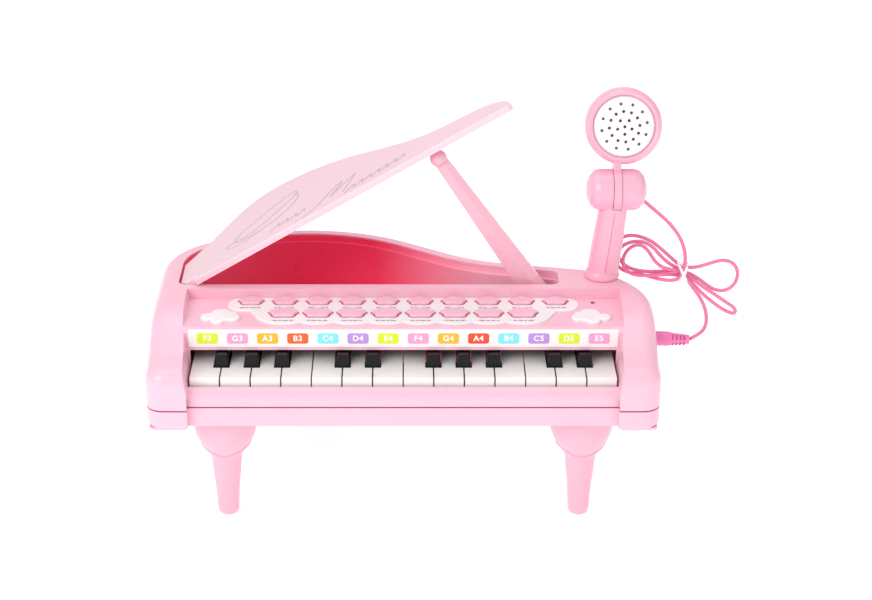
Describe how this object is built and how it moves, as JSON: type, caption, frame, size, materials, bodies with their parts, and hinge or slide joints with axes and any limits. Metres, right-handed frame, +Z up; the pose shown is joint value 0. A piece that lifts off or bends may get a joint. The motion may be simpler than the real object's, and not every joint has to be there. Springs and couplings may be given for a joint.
{
  "type": "toy electronic keyboard",
  "caption": "Toy electronic keyboard shaped like a small grand piano, with pressing keys and buttons, a propped lid and a microphone on a tied cord.",
  "frame": {"origin": "middle of the footprint on the floor, without the cord, its hank and its plug", "axes": "+X to the player's right, +Y away from the player, +Z up"},
  "size_m": [0.4743, 0.2325, 0.3238],
  "materials": {
    "case_pink": "smooth pink",
    "lower_pink": "smooth pink",
    "lid_pink": "smooth light pink",
    "trim_white": "glossy white",
    "label_strip": "white strip with coloured note chips",
    "key_white": "glossy warm white",
    "key_black": "glossy black",
    "button_back": "glossy, a colour for each button",
    "button_front": "glossy, a colour for each button",
    "leg_pink": "smooth pink",
    "mic_pink": "smooth pink",
    "grille_white": "glossy white",
    "cord_pink": "soft pink PVC",
    "board": "circuit board",
    "speaker_black": "dark paper cone and steel basket",
    "door_pink": "smooth pink",
    "switch_white": "white knob",
    "steel": "zinc-plated screws and pins"
  },
  "bodies": {
    "case": {"upper_shell": "case_pink", "lower_shell": "lower_pink", "panel_trim": "trim_white", "label_strip": "label_strip", "legs": "leg_pink", "circuit_boards": "board", "speaker": "speaker_black", "screws_and_pins": "steel", "mic_cord": "cord_pink", "cord_hank": "cord_pink", "mic_plug": "cord_pink"},
    "white_key_01": {"white_key_01": "key_white"},
    "white_key_02": {"white_key_02": "key_white"},
    "white_key_03": {"white_key_03": "key_white"},
    "white_key_04": {"white_key_04": "key_white"},
    "white_key_05": {"white_key_05": "key_white"},
    "white_key_06": {"white_key_06": "key_white"},
    "white_key_07": {"white_key_07": "key_white"},
    "white_key_08": {"white_key_08": "key_white"},
    "white_key_09": {"white_key_09": "key_white"},
    "white_key_10": {"white_key_10": "key_white"},
    "white_key_11": {"white_key_11": "key_white"},
    "white_key_12": {"white_key_12": "key_white"},
    "white_key_13": {"white_key_13": "key_white"},
    "white_key_14": {"white_key_14": "key_white"},
    "black_key_01": {"black_key_01": "key_black"},
    "black_key_02": {"black_key_02": "key_black"},
    "black_key_03": {"black_key_03": "key_black"},
    "black_key_04": {"black_key_04": "key_black"},
    "black_key_05": {"black_key_05": "key_black"},
    "black_key_06": {"black_key_06": "key_black"},
    "black_key_07": {"black_key_07": "key_black"},
    "black_key_08": {"black_key_08": "key_black"},
    "black_key_09": {"black_key_09": "key_black"},
    "black_key_10": {"black_key_10": "key_black"},
    "back_button_01": {"back_button_01": "button_back"},
    "back_button_02": {"back_button_02": "button_back"},
    "back_button_03": {"back_button_03": "button_back"},
    "back_button_04": {"back_button_04": "button_back"},
    "back_button_05": {"back_button_05": "button_back"},
    "back_button_06": {"back_button_06": "button_back"},
    "back_button_07": {"back_button_07": "button_back"},
    "back_button_08": {"back_button_08": "button_back"},
    "back_button_09": {"back_button_09": "button_back"},
    "back_button_10": {"back_button_10": "button_back"},
    "front_button_01": {"front_button_01": "button_front"},
    "front_button_02": {"front_button_02": "button_front"},
    "front_button_03": {"front_button_03": "button_front"},
    "front_button_04": {"front_button_04": "button_front"},
    "front_button_05": {"front_button_05": "button_front"},
    "front_button_06": {"front_button_06": "button_front"},
    "front_button_07": {"front_button_07": "button_front"},
    "front_button_08": {"front_button_08": "button_front"},
    "lid": {"lid": "lid_pink"},
    "lid_prop": {"lid_prop": "lid_pink"},
    "mic_stand": {"mic_handle": "mic_pink"},
    "mic_top": {"mic_head": "mic_pink", "mic_grille": "grille_white"},
    "battery_door": {"battery_door": "door_pink"},
    "power_switch": {"power_switch": "switch_white"}
  },
  "joints": [
    {"name": "white_key_01_press", "type": "hinge", "parent": "case", "child": "white_key_01", "pos_m": [-0.00315, -0.02125, 0.1274], "axis": [1, 0, 0], "range_deg": [0, 2.3], "stiffness_Nm_per_rad": 0.2, "springref_deg": -11.46},
    {"name": "white_key_02_press", "type": "hinge", "parent": "case", "child": "white_key_02", "pos_m": [-0.00315, -0.02125, 0.1274], "axis": [1, 0, 0], "range_deg": [0, 2.3], "stiffness_Nm_per_rad": 0.2, "springref_deg": -11.46},
    {"name": "white_key_03_press", "type": "hinge", "parent": "case", "child": "white_key_03", "pos_m": [-0.00315, -0.02125, 0.1274], "axis": [1, 0, 0], "range_deg": [0, 2.3], "stiffness_Nm_per_rad": 0.2, "springref_deg": -11.46},
    {"name": "white_key_04_press", "type": "hinge", "parent": "case", "child": "white_key_04", "pos_m": [-0.00315, -0.02125, 0.1274], "axis": [1, 0, 0], "range_deg": [0, 2.3], "stiffness_Nm_per_rad": 0.2, "springref_deg": -11.46},
    {"name": "white_key_05_press", "type": "hinge", "parent": "case", "child": "white_key_05", "pos_m": [-0.00315, -0.02125, 0.1274], "axis": [1, 0, 0], "range_deg": [0, 2.3], "stiffness_Nm_per_rad": 0.2, "springref_deg": -11.46},
    {"name": "white_key_06_press", "type": "hinge", "parent": "case", "child": "white_key_06", "pos_m": [-0.00315, -0.02125, 0.1274], "axis": [1, 0, 0], "range_deg": [0, 2.3], "stiffness_Nm_per_rad": 0.2, "springref_deg": -11.46},
    {"name": "white_key_07_press", "type": "hinge", "parent": "case", "child": "white_key_07", "pos_m": [-0.00315, -0.02125, 0.1274], "axis": [1, 0, 0], "range_deg": [0, 2.3], "stiffness_Nm_per_rad": 0.2, "springref_deg": -11.46},
    {"name": "white_key_08_press", "type": "hinge", "parent": "case", "child": "white_key_08", "pos_m": [-0.00315, -0.02125, 0.1274], "axis": [1, 0, 0], "range_deg": [0, 2.3], "stiffness_Nm_per_rad": 0.2, "springref_deg": -11.46},
    {"name": "white_key_09_press", "type": "hinge", "parent": "case", "child": "white_key_09", "pos_m": [-0.00315, -0.02125, 0.1274], "axis": [1, 0, 0], "range_deg": [0, 2.3], "stiffness_Nm_per_rad": 0.2, "springref_deg": -11.46},
    {"name": "white_key_10_press", "type": "hinge", "parent": "case", "child": "white_key_10", "pos_m": [-0.00315, -0.02125, 0.1274], "axis": [1, 0, 0], "range_deg": [0, 2.3], "stiffness_Nm_per_rad": 0.2, "springref_deg": -11.46},
    {"name": "white_key_11_press", "type": "hinge", "parent": "case", "child": "white_key_11", "pos_m": [-0.00315, -0.02125, 0.1274], "axis": [1, 0, 0], "range_deg": [0, 2.3], "stiffness_Nm_per_rad": 0.2, "springref_deg": -11.46},
    {"name": "white_key_12_press", "type": "hinge", "parent": "case", "child": "white_key_12", "pos_m": [-0.00315, -0.02125, 0.1274], "axis": [1, 0, 0], "range_deg": [0, 2.3], "stiffness_Nm_per_rad": 0.2, "springref_deg": -11.46},
    {"name": "white_key_13_press", "type": "hinge", "parent": "case", "child": "white_key_13", "pos_m": [-0.00315, -0.02125, 0.1274], "axis": [1, 0, 0], "range_deg": [0, 2.3], "stiffness_Nm_per_rad": 0.2, "springref_deg": -11.46},
    {"name": "white_key_14_press", "type": "hinge", "parent": "case", "child": "white_key_14", "pos_m": [-0.00315, -0.02125, 0.1274], "axis": [1, 0, 0], "range_deg": [0, 2.3], "stiffness_Nm_per_rad": 0.2, "springref_deg": -11.46},
    {"name": "black_key_01_press", "type": "hinge", "parent": "case", "child": "black_key_01", "pos_m": [-0.00315, -0.02125, 0.1274], "axis": [1, 0, 0], "range_deg": [0, 2.3], "stiffness_Nm_per_rad": 0.2, "springref_deg": -11.46},
    {"name": "black_key_02_press", "type": "hinge", "parent": "case", "child": "black_key_02", "pos_m": [-0.00315, -0.02125, 0.1274], "axis": [1, 0, 0], "range_deg": [0, 2.3], "stiffness_Nm_per_rad": 0.2, "springref_deg": -11.46},
    {"name": "black_key_03_press", "type": "hinge", "parent": "case", "child": "black_key_03", "pos_m": [-0.00315, -0.02125, 0.1274], "axis": [1, 0, 0], "range_deg": [0, 2.3], "stiffness_Nm_per_rad": 0.2, "springref_deg": -11.46},
    {"name": "black_key_04_press", "type": "hinge", "parent": "case", "child": "black_key_04", "pos_m": [-0.00315, -0.02125, 0.1274], "axis": [1, 0, 0], "range_deg": [0, 2.3], "stiffness_Nm_per_rad": 0.2, "springref_deg": -11.46},
    {"name": "black_key_05_press", "type": "hinge", "parent": "case", "child": "black_key_05", "pos_m": [-0.00315, -0.02125, 0.1274], "axis": [1, 0, 0], "range_deg": [0, 2.3], "stiffness_Nm_per_rad": 0.2, "springref_deg": -11.46},
    {"name": "black_key_06_press", "type": "hinge", "parent": "case", "child": "black_key_06", "pos_m": [-0.00315, -0.02125, 0.1274], "axis": [1, 0, 0], "range_deg": [0, 2.3], "stiffness_Nm_per_rad": 0.2, "springref_deg": -11.46},
    {"name": "black_key_07_press", "type": "hinge", "parent": "case", "child": "black_key_07", "pos_m": [-0.00315, -0.02125, 0.1274], "axis": [1, 0, 0], "range_deg": [0, 2.3], "stiffness_Nm_per_rad": 0.2, "springref_deg": -11.46},
    {"name": "black_key_08_press", "type": "hinge", "parent": "case", "child": "black_key_08", "pos_m": [-0.00315, -0.02125, 0.1274], "axis": [1, 0, 0], "range_deg": [0, 2.3], "stiffness_Nm_per_rad": 0.2, "springref_deg": -11.46},
    {"name": "black_key_09_press", "type": "hinge", "parent": "case", "child": "black_key_09", "pos_m": [-0.00315, -0.02125, 0.1274], "axis": [1, 0, 0], "range_deg": [0, 2.3], "stiffness_Nm_per_rad": 0.2, "springref_deg": -11.46},
    {"name": "black_key_10_press", "type": "hinge", "parent": "case", "child": "black_key_10", "pos_m": [-0.00315, -0.02125, 0.1274], "axis": [1, 0, 0], "range_deg": [0, 2.3], "stiffness_Nm_per_rad": 0.2, "springref_deg": -11.46},
    {"name": "back_button_01_press", "type": "slide", "parent": "case", "child": "back_button_01", "axis": [0, 0, -1], "range_m": [0, 0.0015], "stiffness_N_per_m": 100, "springref_m": -0.004},
    {"name": "back_button_02_press", "type": "slide", "parent": "case", "child": "back_button_02", "axis": [0, 0, -1], "range_m": [0, 0.0015], "stiffness_N_per_m": 100, "springref_m": -0.004},
    {"name": "back_button_03_press", "type": "slide", "parent": "case", "child": "back_button_03", "axis": [0, 0, -1], "range_m": [0, 0.0015], "stiffness_N_per_m": 100, "springref_m": -0.004},
    {"name": "back_button_04_press", "type": "slide", "parent": "case", "child": "back_button_04", "axis": [0, 0, -1], "range_m": [0, 0.0015], "stiffness_N_per_m": 100, "springref_m": -0.004},
    {"name": "back_button_05_press", "type": "slide", "parent": "case", "child": "back_button_05", "axis": [0, 0, -1], "range_m": [0, 0.0015], "stiffness_N_per_m": 100, "springref_m": -0.004},
    {"name": "back_button_06_press", "type": "slide", "parent": "case", "child": "back_button_06", "axis": [0, 0, -1], "range_m": [0, 0.0015], "stiffness_N_per_m": 100, "springref_m": -0.004},
    {"name": "back_button_07_press", "type": "slide", "parent": "case", "child": "back_button_07", "axis": [0, 0, -1], "range_m": [0, 0.0015], "stiffness_N_per_m": 100, "springref_m": -0.004},
    {"name": "back_button_08_press", "type": "slide", "parent": "case", "child": "back_button_08", "axis": [0, 0, -1], "range_m": [0, 0.0015], "stiffness_N_per_m": 100, "springref_m": -0.004},
    {"name": "back_button_09_press", "type": "slide", "parent": "case", "child": "back_button_09", "axis": [0, 0, -1], "range_m": [0, 0.0015], "stiffness_N_per_m": 100, "springref_m": -0.004},
    {"name": "back_button_10_press", "type": "slide", "parent": "case", "child": "back_button_10", "axis": [0, 0, -1], "range_m": [0, 0.0015], "stiffness_N_per_m": 100, "springref_m": -0.004},
    {"name": "front_button_01_press", "type": "slide", "parent": "case", "child": "front_button_01", "axis": [0, 0, -1], "range_m": [0, 0.0015], "stiffness_N_per_m": 100, "springref_m": -0.004},
    {"name": "front_button_02_press", "type": "slide", "parent": "case", "child": "front_button_02", "axis": [0, 0, -1], "range_m": [0, 0.0015], "stiffness_N_per_m": 100, "springref_m": -0.004},
    {"name": "front_button_03_press", "type": "slide", "parent": "case", "child": "front_button_03", "axis": [0, 0, -1], "range_m": [0, 0.0015], "stiffness_N_per_m": 100, "springref_m": -0.004},
    {"name": "front_button_04_press", "type": "slide", "parent": "case", "child": "front_button_04", "axis": [0, 0, -1], "range_m": [0, 0.0015], "stiffness_N_per_m": 100, "springref_m": -0.004},
    {"name": "front_button_05_press", "type": "slide", "parent": "case", "child": "front_button_05", "axis": [0, 0, -1], "range_m": [0, 0.0015], "stiffness_N_per_m": 100, "springref_m": -0.004},
    {"name": "front_button_06_press", "type": "slide", "parent": "case", "child": "front_button_06", "axis": [0, 0, -1], "range_m": [0, 0.0015], "stiffness_N_per_m": 100, "springref_m": -0.004},
    {"name": "front_button_07_press", "type": "slide", "parent": "case", "child": "front_button_07", "axis": [0, 0, -1], "range_m": [0, 0.0015], "stiffness_N_per_m": 100, "springref_m": -0.004},
    {"name": "front_button_08_press", "type": "slide", "parent": "case", "child": "front_button_08", "axis": [0, 0, -1], "range_m": [0, 0.0015], "stiffness_N_per_m": 100, "springref_m": -0.004},
    {"name": "lid_hinge", "type": "hinge", "parent": "case", "child": "lid", "pos_m": [-0.16845, 0.03075, 0.1655], "axis": [0, 1, 0], "range_deg": [0, 30.7]},
    {"name": "prop_fold", "type": "hinge", "parent": "case", "child": "lid_prop", "pos_m": [0.16485, -0.00105, 0.16], "axis": [0, -1, 0], "range_deg": [0, 54.9]},
    {"name": "mic_lift", "type": "slide", "parent": "case", "child": "mic_stand", "axis": [0, 0, 1], "range_m": [0, 0.03]},
    {"name": "mic_tilt", "type": "hinge", "parent": "mic_stand", "child": "mic_top", "pos_m": [0.16605, 0.01125, 0.2442], "axis": [1, 0, 0], "range_deg": [-8, 40]},
    {"name": "battery_door_off", "type": "slide", "parent": "case", "child": "battery_door", "axis": [0, 0, -1], "range_m": [0, 0.02]},
    {"name": "switch_slide", "type": "slide", "parent": "case", "child": "power_switch", "axis": [1, 0, 0], "range_m": [-0.0028, 0.0028]}
  ],
  "couplings": [
    {"joint": "prop_fold", "follows": "lid_hinge", "ratio": 1.785}
  ]
}
